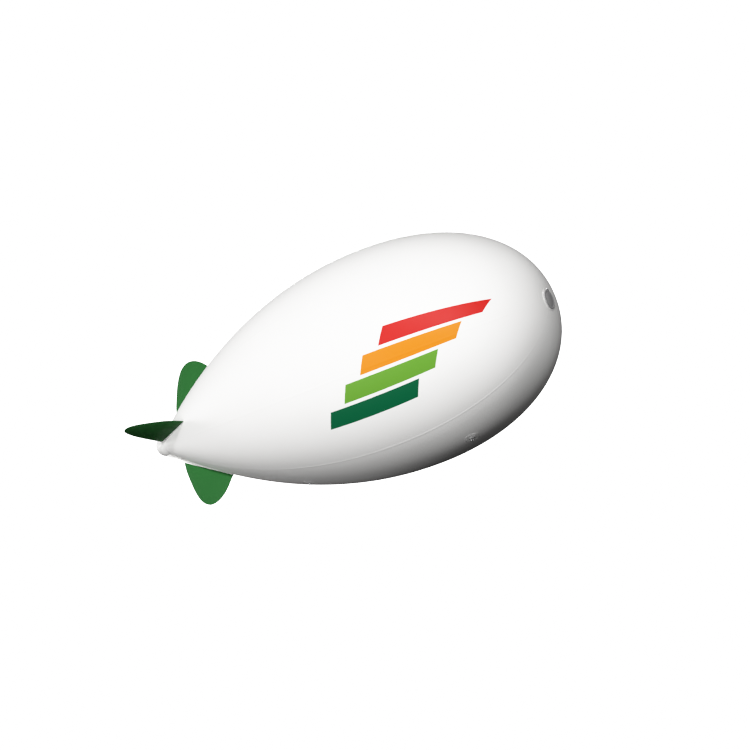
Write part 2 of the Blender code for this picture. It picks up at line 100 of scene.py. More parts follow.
# Nose port, cover and hinge
DOUBLER_RADIUS = 0.100
PORT_BORE = 0.050
TUBE_RADIUS = 0.056
FLANGE_RADIUS = 0.080
FLANGE_BACK = LENGTH + 0.0010
FLANGE_FRONT = FLANGE_BACK + 0.003
TUBE_BACK = FLANGE_FRONT - 0.035
PORT_ROUNDING = 0.0008
PORT_CHAMFER = 0.0004
COVER_RADIUS = 0.084
COVER_THICKNESS = 0.004
COVER_BACK = FLANGE_FRONT + SEAM_GAP
COVER_FACE = COVER_BACK + COVER_THICKNESS
COVER_ROUNDING = 0.0014
COVER_CHAMFER = 0.0003
HINGE_STATION = COVER_BACK + COVER_THICKNESS / 2.0
HINGE_HEIGHT = COVER_RADIUS + 0.006
HINGE_RADIUS = 0.0045
PIN_RADIUS = 0.0020
PIN_HEAD_RADIUS = 0.0029
KNUCKLE_HALF = 0.0120
EAR_WIDTH = 0.006
EAR_BOTTOM = 0.072
BORE_REACH = 0.04

# Tether points
PATCH_RADIUS = 0.070
PATCH_THICKNESS = 0.002
LOOP_BASE = PATCH_THICKNESS + 2 * SEAM_GAP
LOOP_HALF_WIDTH = 0.0125
LOOP_THICKNESS = 0.002
LOOP_FOOT = 0.024
LOOP_INNER_RADIUS = 0.0036
LOOP_BAR = LOOP_BASE + LOOP_INNER_RADIUS
LOOP_EASE = 0.0022
LOOP_STEPS = 12
SELVEDGE_THINNING = 0.65
RING_HALF_WIDTH = 0.022
RING_DROP = 0.038
RING_SECTION = 0.005
RING_HALF_THICKNESS = 0.002
RING_CORNER = 0.007
RING_BOW = 0.72
RING_STEP = 0.0014
RING_SIDES = 20

# Gores from the top towards the right side, at equal angles
GORE_NAMES = ("top", "upper_right", "right", "lower_right", "bottom", "lower_left", "left", "upper_left")

# columns: name, roll in degrees from the top towards the right side, outline
FINS = (
    ("top", 0.0, "upright"),
    ("right", 90.0, "level"),
    ("bottom", 180.0, "upright"),
    ("left", 270.0, "level"),
)

# Pairs of station and radius, from the trailing root corner round the tip to the leading root corner
FIN_OUTLINES = {
    "upright": (
        (0.244, 0.215), (0.251, 0.300), (0.272, 0.395), (0.302, 0.505), (0.342, 0.597), (0.385, 0.650),
        (0.445, 0.679), (0.515, 0.670), (0.580, 0.634), (0.635, 0.583), (0.680, 0.525), (0.712, 0.484),
    ),
    "level": (
        (0.120, 0.118), (0.106, 0.170), (0.084, 0.265), (0.060, 0.380), (0.046, 0.500), (0.054, 0.605),
        (0.090, 0.660), (0.144, 0.681), (0.208, 0.669), (0.284, 0.628), (0.360, 0.576), (0.430, 0.518),
        (0.486, 0.441), (0.520, 0.372),
    ),
}

# Aft edge of a web: two control points of its curve, as station and radius, and the station of its end
WEB_TAIL_CURVES = {
    "upright": ((0.222, 0.172), (0.150, 0.143), 0.058),
    "level": ((0.112, 0.100), (0.095, 0.098), 0.070),
}

# Tether points and their stations
TETHERS = (("fore", 3.05), ("aft", 1.45))

# The photograph's view, and its lights by their direction in that view
CAMERA_PLACE = Vector((13.4964, -26.6942, -11.4189))
CAMERA_RIGHT = Vector((0.8466, 0.5035, -0.1728))
CAMERA_UP = Vector((0.3224, -0.2267, 0.9191))
CAMERA_BACK = CAMERA_RIGHT.cross(CAMERA_UP)
CAMERA_LENS = 178.70
SENSOR = 36.0
FLOOR_DROP = 0.05
FLOOR_REACH = 150.0
FLOOR_FADE = (6.0, 40.0)

# columns: name, right, up and towards the camera, size, power in watts
LIGHTS = (
    ("front", -0.05, 0.33, 0.94, 3.0, 4400.0),
    ("upper_left", -0.42, 0.48, 0.77, 1.5, 3000.0),
    ("lower_left", -0.72, -0.12, 0.68, 7.0, 3000.0),
    ("right_fill", 0.52, 0.38, 0.76, 7.0, 750.0),
    ("back_right", 0.70, 0.70, -0.20, 7.0, 500.0),
    ("left_rim", -1.00, 0.00, -0.50, 7.0, 1900.0),
    ("behind", 0.00, 0.10, -1.00, 7.0, 5500.0),
)
LIGHT_DISTANCE = 26.0
BACKDROP = 3.0
# Two heights of the sky, and its light there
SKY = (-0.6, 0.8, 0.03, 0.06)

# Tone curve of the picture: linear light in, light shown; it rolls the whites off softly
TONE_WHITE = 3.0
TONE_CURVE = ((0.60, 0.600), (0.80, 0.760), (1.00, 0.870), (1.20, 0.945), (1.45, 0.985), (1.80, 1.000))

# Printed bars on each flank: generic slanted stripes, each one a step further along and up the girth
BAR_INKS = (
    (0.000, 0.094, 0.034, 1.0),
    (0.115, 0.300, 0.026, 1.0),
    (0.740, 0.210, 0.002, 1.0),
    (0.540, 0.008, 0.004, 1.0),
)
BAR_SIZES = {"Girth Radius": MAX_RADIUS, "Length": 0.86, "Height": 0.15, "Slant": 0.55}
BAR_START = (0.24, -0.71)
BAR_STEP = (0.24, 0.18)

# Colours, linear
WHITE_FILM = ((0.868, 0.862, 0.848, 1.0), (0.908, 0.902, 0.890, 1.0))
GREEN_FILM = ((0.016, 0.098, 0.021, 1.0), (0.021, 0.120, 0.026, 1.0))
GREY_PLASTIC = ((0.290, 0.288, 0.292, 1.0), (0.340, 0.338, 0.342, 1.0))
STEEL = ((0.56, 0.57, 0.59, 1.0), (0.72, 0.73, 0.74, 1.0))
# Webbing: its own light grey, and a darker grey painted into the weave's hollows as painted shade
WEBBING_AND_HOLLOW_SHADE = ((0.50, 0.50, 0.50, 1.0), (0.82, 0.82, 0.82, 1.0))
FLOOR_PAPER = ((0.80, 0.80, 0.80, 1.0), (0.84, 0.84, 0.84, 1.0))
WHITE = (1.0, 1.0, 1.0, 1.0)


# The envelope's form

def envelope_radius(station):
    """Outer radius of the envelope: a parabola behind the widest station, a superellipse ahead of it."""
    if station <= MAX_STATION:
        return MAX_RADIUS * (1.0 - ((MAX_STATION - station) / MAX_STATION) ** 2)
    share = (station - MAX_STATION) / (LENGTH - MAX_STATION)
    return MAX_RADIUS * max(0.0, 1.0 - share**NOSE_POWER) ** (1.0 / NOSE_POWER)


def nose_station(radius):
    """Station ahead of the widest one where the envelope has this radius."""
    share = (1.0 - (radius / MAX_RADIUS) ** NOSE_POWER) ** (1.0 / NOSE_POWER)
    return MAX_STATION + (LENGTH - MAX_STATION) * share


def profile_normal(station):
    """Outward normal of the envelope's profile, as (along the axis, away from the axis)."""
    step = 1e-4
    slope = (envelope_radius(station + step) - envelope_radius(station - step)) / (2.0 * step)
    size = math.hypot(1.0, slope)
    return -slope / size, 1.0 / size


def offset_point(station, distance):
    """Point of the profile moved outwards along its normal, as (station, radius)."""
    along, out = profile_normal(station)
    return station + along * distance, envelope_radius(station) + out * distance


def skin_radius(station):
    """Outside of the cap and the gores."""
    if station >= TAIL_CAP_END:
        return envelope_radius(station)
    if station >= TAIL_CAP_RADIUS:
        share = (station - TAIL_CAP_RADIUS) / (TAIL_CAP_END - TAIL_CAP_RADIUS)
        return TAIL_CAP_RADIUS + (envelope_radius(TAIL_CAP_END) - TAIL_CAP_RADIUS) * share
    return math.sqrt(max(0.0, TAIL_CAP_RADIUS**2 - (TAIL_CAP_RADIUS - station) ** 2))


def rolled(station, radius, roll, sideways=0.0):
    """A point in the plane of a roll angle, in the frame; sideways is along the roll's sense."""
    angle = math.radians(roll)
    out = Vector((0.0, -math.sin(angle), math.cos(angle)))
    across = Vector((0.0, -math.cos(angle), -math.sin(angle)))
    return Vector((station - ORIGIN_STATION, 0.0, 0.0)) + out * radius + across * sideways


# Node helpers

class Value:
    """What a node gives; arithmetic with it adds Math nodes."""

    def __init__(self, tree, socket):
        self.tree = tree
        self.socket = socket

    def step(self, operation, other=0.0):
        return calc(self.tree, operation, self, other)

    def __add__(self, other):
        return self.step("ADD", other)

    def __sub__(self, other):
        return self.step("SUBTRACT", other)

    def __rsub__(self, other):
        return calc(self.tree, "SUBTRACT", other, self)

    def __mul__(self, other):
        return self.step("MULTIPLY", other)

    def __truediv__(self, other):
        return self.step("DIVIDE", other)

    def __rtruediv__(self, other):
        return calc(self.tree, "DIVIDE", other, self)

    def __pow__(self, other):
        return self.step("POWER", other)


def fill(tree, inputs, values):
    """Sets inputs of a node, each to a plain value or to what another node gives."""
    for key, value in values.items():
        if isinstance(value, Value):
            value = value.socket
        if isinstance(value, bpy.types.NodeSocket):
            tree.links.new(value, inputs[key])
        else:
            inputs[key].default_value = value


def add_node(tree, kind, values=None, **settings):
    """Adds a node and returns its outputs."""
    node = tree.nodes.new(kind)
    for key, value in settings.items():
        setattr(node, key, value)
    fill(tree, node.inputs, values or {})
    return node.outputs


def calc(tree, operation, first, second=0.0):
    return Value(tree, add_node(tree, "ShaderNodeMath", {0: first, 1: second}, operation=operation)[0])


def fade(tree, value, low, high, to_low=0.0, to_high=1.0):
    """Smooth step of a value from to_low at low to to_high at high."""
    ends = {"Value": value, "From Min": low, "From Max": high, "To Min": to_low, "To Max": to_high}
    return Value(tree, add_node(tree, "ShaderNodeMapRange", ends, interpolation_type="SMOOTHSTEP")[0])


def noise(tree, place, scale, detail, roughness=0.5):
    values = {"Vector": place, "Scale": scale, "Detail": detail, "Roughness": roughness}
    return Value(tree, add_node(tree, "ShaderNodeTexNoise", values)["Fac"])


def split(tree, place):
    """X, Y and Z of a place."""
    return [Value(tree, socket) for socket in add_node(tree, "ShaderNodeSeparateXYZ", {0: place})]


def vector(tree, **axes):
    return add_node(tree, "ShaderNodeCombineXYZ", axes)[0]


def blend_colour(tree, share, first, second):
    return add_node(tree, "ShaderNodeMix", {0: share, 6: first, 7: second}, data_type="RGBA")[2]


def blend_shader(tree, share, first, second):
    return add_node(tree, "ShaderNodeMixShader", {0: share, 1: first, 2: second})[0]


def new_tree(name, inputs, outputs, tree_kind="ShaderNodeTree"):
    """A node group; each input has a name and a default number, or the kind of its socket."""
    tree = bpy.data.node_groups.new(name, tree_kind)
    for socket_name, default in inputs.items():
        kind = {float: "Float", int: "Int"}.get(type(default), default)
        socket = tree.interface.new_socket(socket_name, in_out="INPUT", socket_type="NodeSocket" + kind)
        if default != kind:
            socket.default_value = default
    for socket_name, kind in outputs.items():
        tree.interface.new_socket(socket_name, in_out="OUTPUT", socket_type="NodeSocket" + kind)
    given = {socket.name: Value(tree, socket) for socket in add_node(tree, "NodeGroupInput")}
    return tree, given, tree.nodes.new("NodeGroupOutput").inputs


def bare_tree(owner):
    owner.use_nodes = True
    owner.node_tree.nodes.clear()
    return owner.node_tree


# Object and mesh helpers

def add_object(name, data):
    added = bpy.data.objects.new(name, data)
    bpy.context.scene.collection.objects.link(added)
    return added


def new_piece(name, mesh, material, node=None, body="envelope"):
    """Links a finished mesh as a piece that rides on a body, in place of a node or as an addition."""
    mesh.materials.clear()
    mesh.materials.append(material)
    piece = add_object(name, mesh)
    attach(piece, body)
    if node:
        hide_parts(node)


def set_sharp(mesh, degrees):
    mesh.set_sharp_from_angle(angle=math.radians(degrees))


def mesh_of(bm, name, sharp=35.0):
    bmesh.ops.recalc_face_normals(bm, faces=bm.faces)
    mesh = bpy.data.meshes.new(name)
    bm.to_mesh(mesh)
    bm.free()
    mesh.shade_smooth()
    set_sharp(mesh, sharp)
    return mesh


def plain_mesh(holder, name):
    """The mesh that an object's modifiers make; the object is removed."""
    bpy.context.view_layer.update()
    graph = bpy.context.evaluated_depsgraph_get()
    mesh = bpy.data.meshes.new_from_object(holder.evaluated_get(graph))
    mesh.name = name
    bpy.data.objects.remove(holder)
    return mesh


def boolean(mesh, tool_mesh, operation):
    """A mesh with another one joined to it or cut out of it."""
    holder = add_object("holder", mesh)
    tool = add_object("tool", tool_mesh)
    step = holder.modifiers.new(operation.lower(), "BOOLEAN")
    step.operation = operation
    step.solver = "EXACT"
    step.object = tool
    result = plain_mesh(holder, mesh.name)
    bpy.data.objects.remove(tool)
    return result


def arc(centre, radius, start, end, steps):
    """Points of an arc, as pairs, angles in degrees from the first axis."""
    points = []
    for i in range(steps + 1):
        angle = math.radians(start + (end - start) * i / steps)
        points.append((centre[0] + radius * math.cos(angle), centre[1] + radius * math.sin(angle)))
    return points


def curve_points(controls, steps):
    """Points of the Bezier curve that has these control points."""
    points = []
    for i in range(steps + 1):
        line = [Vector(control) for control in controls]
        while len(line) > 1:
            line = [first.lerp(second, i / steps) for first, second in zip(line, line[1:])]
        points.append(line[0])
    return points


def straight_points(start, end, steps):
    """Points of a straight line, without its end."""
    return [start.lerp(end, i / steps) for i in range(steps)]


def run_lengths(line, before):
    """Length of a line up to each of its points, from the point before it."""
    return list(accumulate((point - last).length for last, point in zip([before] + line, line)))


def weld_groove(start, width, high, low):
    """Rows of a pressed weld ring, as (radius, height)."""
    slope = 0.0005
    end = start + slope + width
    return ((start, high), (start + slope, low), (end, low), (end + slope, high))


def join_rows(bm, rows, ring=True, closed=False):
    """Faces between neighbouring rows of vertices; a row of one vertex is a pole."""
    faces = []
    for low, high in zip(rows, rows[1:] + rows[:1] if closed else rows[1:]):
        count = max(len(low), len(high))
        for k in range(count if ring else count - 1):
            j = (k + 1) % count
            corners = (low[k % len(low)], low[j % len(low)], high[j % len(high)], high[k % len(high)])
            faces.append(bm.faces.new(list(dict.fromkeys(corners))))
    return faces


def swept_rows(bm, path, section, closed=False):
    """A section of (out, across) pairs, set up at each point of a path in the XY plane."""
    line = path[-1:] + path + path[:1] if closed else path[:1] + path + path[-1:]
    rows = []
    for before, point, after in zip(line, path, line[2:]):
        tangent = (after - before).normalized()
        normal = Vector((-tangent.y, tangent.x))
        spots = [(point + normal * out, across) for out, across in section]
        rows.append([bm.verts.new((spot.x, spot.y, across)) for spot, across in spots])
    return rows


def turned_mesh(name, profile, segments, point=rolled):
    """A profile of (place, radius) pairs turned about an axis; a radius of zero closes it."""
    bm = bmesh.new()
    rows = []
    for place, radius in profile:
        turns = [360.0 * k / segments for k in range(segments if radius > 0.0 else 1)]
        rows.append([bm.verts.new(point(place, radius, turn)) for turn in turns])
    join_rows(bm, rows, closed=len(rows[0]) > 1)
    return mesh_of(bm, name)


def hinge_rod(radius, low_y, high_y):
    """A cylinder about the hinge's axis."""
    bm = bmesh.new()
    place = Matrix.Translation((HINGE_STATION - ORIGIN_STATION, (low_y + high_y) / 2.0, HINGE_HEIGHT))
    place = place @ Matrix.Rotation(math.pi / 2.0, 4, "X")
    bmesh.ops.create_cone(
        bm, cap_ends=True, segments=48, radius1=radius, radius2=radius, depth=high_y - low_y, matrix=place
    )
    return mesh_of(bm, "rod")


def box_mesh(low, high):
    """A box between two corners given as (station, y, z)."""
    bm = bmesh.new()
    bmesh.ops.create_cube(bm, size=1.0)
    middle = (Vector(high) + Vector(low)) / 2.0 - Vector((ORIGIN_STATION, 0.0, 0.0))
    bmesh.ops.scale(bm, vec=Vector(high) - Vector(low), verts=bm.verts)
    bmesh.ops.translate(bm, vec=middle, verts=bm.verts)
    return mesh_of(bm, "box")


# Camera, floor, world and lights

def make_camera():
    data = bpy.data.cameras.new("camera")
    data.lens = CAMERA_LENS
    data.sensor_width = SENSOR
    data.clip_end = 200.0
    camera = add_object("camera", data)
    turn = Matrix((CAMERA_RIGHT, CAMERA_UP, CAMERA_BACK)).transposed().to_4x4()
    camera.matrix_world = Matrix.Translation(CAMERA_PLACE) @ turn
    bpy.context.scene.camera = camera


def make_stage():
    """A wide pale floor just under the camera; it is see-through from below and fades into the backdrop."""
    bm = bmesh.new()
    bmesh.ops.create_circle(bm, cap_ends=True, segments=96, radius=FLOOR_REACH)
    bmesh.ops.translate(bm, vec=(0.0, 0.0, CAMERA_PLACE.z - FLOOR_DROP), verts=bm.verts)
    mesh = bpy.data.meshes.new("studio_floor")
    bm.to_mesh(mesh)
    bm.free()
    floor = add_object("studio_floor", mesh)
    paint = bpy.data.materials.new("floor_paper")
    tree = bare_tree(paint)
    place = add_node(tree, "ShaderNodeTexCoord")["Object"]
    x, y, _ = split(tree, place)
    reach = (x * x + y * y) ** 0.5
    tone = blend_colour(tree, noise(tree, place, 3.0, 4.0), *FLOOR_PAPER)
    paper = add_node(tree, "ShaderNodeBsdfDiffuse", {"Color": tone})[0]
    glow = add_node(tree, "ShaderNodeEmission", {"Color": WHITE, "Strength": BACKDROP})[0]
    clear = add_node(tree, "ShaderNodeBsdfTransparent")[0]
    shown = blend_shader(tree, fade(tree, reach, *FLOOR_FADE), paper, glow)
    below = add_node(tree, "ShaderNodeNewGeometry")["Backfacing"]
    seen = Value(tree, add_node(tree, "ShaderNodeLightPath")["Is Camera Ray"])
    gone = (1.0 - seen).step("MAXIMUM", below)
    add_node(tree, "ShaderNodeOutputMaterial", {"Surface": blend_shader(tree, gone, shown, clear)})
    mesh.materials.append(paint)


def make_world():
    """White behind the object; the light that it gives is dimmer, and dimmest from below."""
    world = bpy.data.worlds.new("studio")
    bpy.context.scene.world = world
    tree = bare_tree(world)
    seen = add_node(tree, "ShaderNodeLightPath")["Is Camera Ray"]
    height = split(tree, add_node(tree, "ShaderNodeTexCoord")["Generated"])[2]
    soft = add_node(tree, "ShaderNodeBackground", {"Color": WHITE, "Strength": fade(tree, height, *SKY)})[0]
    white = add_node(tree, "ShaderNodeBackground", {"Color": WHITE, "Strength": BACKDROP})[0]
    add_node(tree, "ShaderNodeOutputWorld", {"Surface": blend_shader(tree, seen, soft, white)})


def make_lights():
    for name, right, up, near, size, power in LIGHTS:
        way = (CAMERA_RIGHT * right + CAMERA_UP * up + CAMERA_BACK * near).normalized()
        data = bpy.data.lights.new(name, "AREA")
        data.shape = "DISK"
        data.size = size
        data.energy = power
        lamp = add_object("light_" + name, data)
        lamp.location = way * LIGHT_DISTANCE
        lamp.rotation_mode = "QUATERNION"
        lamp.rotation_quaternion = way.to_track_quat("Z", "Y")
        lamp.visible_camera = False


def set_tones():
    """The plain view with a soft shoulder, as a photograph has, so that white film keeps its shape."""
    view = bpy.context.scene.view_settings
    view.view_transform = "Standard"
    view.use_curve_mapping = True
    view.curve_mapping.white_level = [TONE_WHITE] * 3
    curve = view.curve_mapping.curves[3]
    for light, shown in TONE_CURVE:
        curve.points.new(light / TONE_WHITE, shown)
    view.curve_mapping.update()


# Shader groups and materials

SURFACE = {"Tone": "Float", "Gloss": "Float", "Height": "Float"}


def group_film():
    """Coated film: slow waves of tone, a fine calendered grain and faint stretch lines along the axis."""
    sizes = {"Vector": "Vector", "Wave Size": 0.5, "Grain Size": 0.004, "Stretch": 0.4}
    group, given, made = new_tree("coated_film", sizes, SURFACE)
    place = given["Vector"]
    wave = noise(group, place, 1.0 / given["Wave Size"], 3.0)
    grain = noise(group, place, 1.0 / given["Grain Size"], 2.0)
    drawn_out = {"Vector": place, "Scale": (2.0, 22.0, 22.0)}
    drawn_out = add_node(group, "ShaderNodeMapping", drawn_out, vector_type="POINT")[0]
    lines = noise(group, drawn_out, 1.0, 3.0) * given["Stretch"]
    fill(group, made, {"Tone": wave, "Gloss": wave * 0.7 + grain * 0.3, "Height": grain * 0.15 + lines})
    return group


def group_stripe():
    """One printed slanted bar on each flank, as a mask; up is measured round the girth, from half height."""
    sizes = {"Vector": "Vector", "Girth Radius": 1.0, "Along": 0.0, "Up": 0.0}
    sizes |= {"Length": 0.4, "Height": 0.1, "Slant": 0.5, "Edge": 0.0015}
    group, given, made = new_tree("printed_bar", sizes, {"Mask": "Float"})
    x, y, z = split(group, given["Vector"])
    up = z.step("ARCTAN2", y.step("ABSOLUTE")) * given["Girth Radius"] - given["Up"]
    along = x - given["Along"] - up * given["Slant"]
    inside_length = (given["Length"] * 0.5 - along.step("ABSOLUTE")) / given["Edge"]
    inside_height = (given["Height"] * 0.5 - up.step("ABSOLUTE")) / given["Edge"]
    mask = inside_length.step("MINIMUM", inside_height) + 0.5
    fill(group, made, {"Mask": add_node(group, "ShaderNodeClamp", {"Value": mask})[0]})
    return group


def group_moulded():
    """Moulded plastic: fine spark texture and faint handling marks."""
    sizes = {"Vector": "Vector", "Grain Size": 0.0008, "Marks": 0.5}
    group, given, made = new_tree("moulded_plastic", sizes, SURFACE)
    place = given["Vector"]
    grain = noise(group, place, 1.0 / given["Grain Size"], 1.0)
    marks = fade(group, noise(group, place, 55.0, 6.0, 0.7), 0.52, 0.72) * given["Marks"]
    cloud = noise(group, place, 18.0, 2.0)
    surface = {"Tone": cloud + marks * 0.5, "Gloss": grain - marks * 0.6, "Height": grain - marks * 0.2}
    fill(group, made, surface)
    return group


def use_group(tree, group, values):
    return add_node(tree, "ShaderNodeGroup", values, node_tree=group)


def new_material(name, roughness, specular=0.5, metallic=0.0, sheen=0.0):
    """A material with its Principled shader's inputs and its object coordinates."""
    material = bpy.data.materials.new(name)
    material.use_nodes = True
    tree = material.node_tree
    shader = tree.nodes["Principled BSDF"].inputs
    constants = {"Roughness": roughness, "Specular IOR Level": specular}
    fill(tree, shader, constants | {"Metallic": metallic, "Sheen Weight": sheen})
    return material, tree, shader, add_node(tree, "ShaderNodeTexCoord")["Object"]


def dress(tree, shader, colour, gloss, height, distance, strength):
    """Gives a shader its colour, its roughness and a bump of a distance in metres."""
    bump = add_node(tree, "ShaderNodeBump", {"Height": height, "Distance": distance, "Strength": strength})
    fill(tree, shader, {"Base Color": colour, "Roughness": gloss, "Normal": bump[0]})


def film_material(name, groups, roughness, printed=False, tones=WHITE_FILM, specular=0.2):
    material, tree, shader, place = new_material(name, roughness[0], specular=specular)
    film = use_group(tree, groups["film"], {"Vector": place})
    colour = blend_colour(tree, film["Tone"], *tones)
    for index, ink in enumerate(BAR_INKS if printed else ()):
        along, up = (start + step * index for start, step in zip(BAR_START, BAR_STEP))
        bar = use_group(tree, groups["bar"], BAR_SIZES | {"Vector": place, "Along": along, "Up": up})
        colour = blend_colour(tree, bar["Mask"], colour, ink)
    gloss = fade(tree, film["Gloss"], 0.0, 1.0, *roughness)
    dress(tree, shader, colour, gloss, film["Height"], 0.0006, 0.25)
    return material


def plastic_material(name, tones, groups):
    material, tree, shader, place = new_material(name, 0.42, specular=0.45)
    skin = use_group(tree, groups["plastic"], {"Vector": place})
    colour = blend_colour(tree, skin["Tone"], *tones)
    gloss = fade(tree, skin["Gloss"], 0.0, 1.0, 0.38, 0.52)
    dress(tree, shader, colour, gloss, skin["Height"], 0.0001, 0.3)
    return material


def steel_material(name):
    """Bright drawn steel with fine grain and a little tarnish."""
    material, tree, shader, place = new_material(name, 0.25, metallic=1.0)
    cloud = noise(tree, place, 60.0, 4.0)
    colour = blend_colour(tree, cloud, *STEEL)
    gloss = fade(tree, cloud, 0.3, 0.7, 0.18, 0.34)
    fine = noise(tree, place, 900.0, 3.0)
    dress(tree, shader, colour, gloss, fine, 0.00005, 0.2)
    return material


def webbing_material(name):
    """Woven tape, on the strap's own UV in metres: ribs across its length and a twill between them; its
    colour is painted darker in the weave's hollows, as painted shade.
    """
    rib_pitch = 0.0013
    yarn_pitch = 0.0016
    roughness = 0.85
    material, tree, shader, _ = new_material(name, roughness, specular=0.2, sheen=0.3)
    along, across, _ = split(tree, add_node(tree, "ShaderNodeUVMap", uv_map="strap")[0])
    rib_turn = along * (2.0 * math.pi / rib_pitch)
    yarn_turn = across * (2.0 * math.pi / yarn_pitch) + rib_turn * 0.5
    # The weave's height is also the colour share, so its hollows get painted shade
    weave_height_and_hollow_shade = (rib_turn.step("SINE") * 0.5 + 0.5) * (yarn_turn.step("SINE") * 0.5 + 0.5)
    dress(tree, shader, blend_colour(tree, weave_height_and_hollow_shade, *WEBBING_AND_HOLLOW_SHADE), roughness, weave_height_and_hollow_shade, 0.0004, 0.8)
    return material


def make_materials():
    groups = {"film": group_film(), "bar": group_stripe(), "plastic": group_moulded()}
    return {
        "envelope": film_material("envelope_film", groups, (0.46, 0.54), printed=True),
        "tape": film_material("weld_tape", groups, (0.48, 0.56), printed=True),
        "cap": film_material("tail_cap_film", groups, (0.38, 0.46)),
        "web": film_material("web_film", groups, (0.42, 0.52)),
        "doubler": film_material("doubler_film", groups, (0.44, 0.54)),
        "fin": film_material("fin_film", groups, (0.56, 0.66), tones=GREEN_FILM, specular=0.08),
        "port": plastic_material("port_plastic", GREY_PLASTIC, groups),
        "disc": plastic_material("nose_disc_plastic", GREY_PLASTIC, groups),
        "pin": steel_material("pin_steel"),
        "ring": steel_material("ring_steel"),
        "webbing": webbing_material("loop_webbing"),
        "thread": plastic_material("sewing_thread", WHITE_FILM, groups),
    }


# Geometry node trees

ENVELOPE_SIZES = {
    "Length": LENGTH,
    "Max Radius": MAX_RADIUS,
    "Max Station": MAX_STATION,
    "Nose Power": NOSE_POWER,
    "Tail Station": TAIL_CAP_END,
    "Hole Radius": PORT_HOLE_RADIUS,
    "Origin Station": ORIGIN_STATION,
    "Rear Share": REAR_SHARE,
}


def new_geometry_tree(name, sizes):
    """A geometry tree with named sizes and a material."""
    inputs = {"Geometry": "Geometry", **sizes, "Material": "Material"}
    return new_tree(name, inputs, {"Geometry": "Geometry"}, "GeometryNodeTree")


def end_tree(tree, given, made, geometry):
    """Makes the instances real, shades them smooth and gives them the material."""
    for kind in ("GeometryNodeRealizeInstances", "GeometryNodeSetShadeSmooth"):
        geometry = add_node(tree, kind, {"Geometry": geometry})[0]
    painted = {"Geometry": geometry, "Material": given["Material"]}
    fill(tree, made, {"Geometry": add_node(tree, "GeometryNodeSetMaterial", painted)[0]})
    return tree


def grown_mesh(tree, name, material, values):
    """Runs a geometry tree on an empty mesh and returns what it makes."""
    holder = add_object("holder", bpy.data.meshes.new(name))
    grow = holder.modifiers.new("grow", "NODES")
    grow.node_group = tree
    values = values | {"Material": material}
    for item in tree.interface.items_tree:
        if item.in_out == "INPUT" and item.name in values:
            grow[item.identifier] = values[item.name]
    return plain_mesh(holder, name)


def unit_grid(tree, rings, columns):
    """A grid: its mesh, the share along it from 0 to 1, and the place across it from -1 to 1."""
    sizes = {"Size X": 1.0, "Size Y": 1.0, "Vertices X": rings, "Vertices Y": columns}
    grid = add_node(tree, "GeometryNodeMeshGrid", sizes)
    along, across, _ = split(tree, grid["UV Map"])
    return grid["Mesh"], along, across * 2.0 - 1.0


def envelope_profile(tree, given, along):
    """Station and radius of the envelope; along runs 0 to 1 from the tail cap to the nose hole."""
    widest = given["Max Station"]
    rear = (along / given["Rear Share"]).step("MINIMUM", 1.0)
    rear_station = rear * (widest - given["Tail Station"]) + given["Tail Station"]
    back = (widest - rear_station) / widest
    front = (along - given["Rear Share"]).step("MAXIMUM", 0.0) / (1.0 - given["Rear Share"])
    hole = (given["Hole Radius"] / given["Max Radius"]).step("ARCCOSINE")
    front_share = (front * hole).step("COSINE")
    bulge = (1.0 - front_share ** given["Nose Power"]).step("MAXIMUM", 0.0) ** (1.0 / given["Nose Power"])
    station = bulge * (given["Length"] - widest) + rear_station
    return station, (front_share - back * back) * given["Max Radius"]


def lay_on_envelope(tree, given, mesh, station, radius, turn):
    """Moves a grid's points to their stations, radii and turns about the axis, in radians."""
    across = turn.step("SINE") * radius * -1.0
    point = vector(tree, X=station - given["Origin Station"], Y=across, Z=turn.step("COSINE") * radius)
    laid = add_node(tree, "GeometryNodeSetPosition", {"Geometry": mesh, "Position": point})[0]
    return add_node(tree, "GeometryNodeFlipFaces", {"Mesh": laid})[0]


def gore_tree():
    """One gore of the envelope: a grid laid on the turned profile, a little puffed between its seams."""
    sizes = {"Roll": 0.0, "Gore Count": GORE_COUNT, "Seam Gap": SEAM_GAP, "Puff": GORE_PUFF}
    sizes |= {"Rings": 181, "Columns": 25}
    tree, given, made = new_geometry_tree("gore_skin", ENVELOPE_SIZES | sizes)
    mesh, along, side = unit_grid(tree, given["Rings"], given["Columns"])
    station, radius = envelope_profile(tree, given, along)
    # Highest along the gore's middle, and flat at its seams and ends
    crown = 1.0 - side * side
    ends = 1.0 - (along * 2.0 - 1.0).step("ABSOLUTE") ** 4.0
    half = math.pi / given["Gore Count"] - given["Seam Gap"] * 0.5 / radius
    puffed = crown * ends * given["Puff"] + radius
    skin = lay_on_envelope(tree, given, mesh, station, puffed, side * half + given["Roll"])
    return end_tree(tree, given, made, skin)


def tape_tree():
    """Weld tapes along the gore seams: one strip laid on the envelope and instanced round the axis."""
    sizes = {"Tape Count": GORE_COUNT, "Tape Width": 0.024, "Tape Height": 0.0007, "Rings": 241}
    tree, given, made = new_geometry_tree("seam_tapes", ENVELOPE_SIZES | sizes)
    mesh, along, side = unit_grid(tree, given["Rings"], 7)
    station, radius = envelope_profile(tree, given, along)
    # The strip's edges go down into the gores, and it narrows where the envelope is slender
    lift = (side.step("ABSOLUTE") ** 6.0 * -1.3 + 1.0) * given["Tape Height"]
    half = (given["Tape Width"] * 0.5).step("MINIMUM", radius * 0.12)
    strip = lay_on_envelope(tree, given, mesh, station, radius + lift, side * half / radius)
    spots = {"Count": given["Tape Count"], "Offset": (0.0, 0.0, 0.0)}
    spots = add_node(tree, "GeometryNodeMeshLine", spots)["Mesh"]
    index = Value(tree, add_node(tree, "GeometryNodeInputIndex")[0])
    angle = (index + 0.5) * (2.0 * math.pi / given["Tape Count"])
    copies = {"Points": spots, "Instance": strip, "Rotation": vector(tree, X=angle)}
    return end_tree(tree, given, made, add_node(tree, "GeometryNodeInstanceOnPoints", copies)[0])


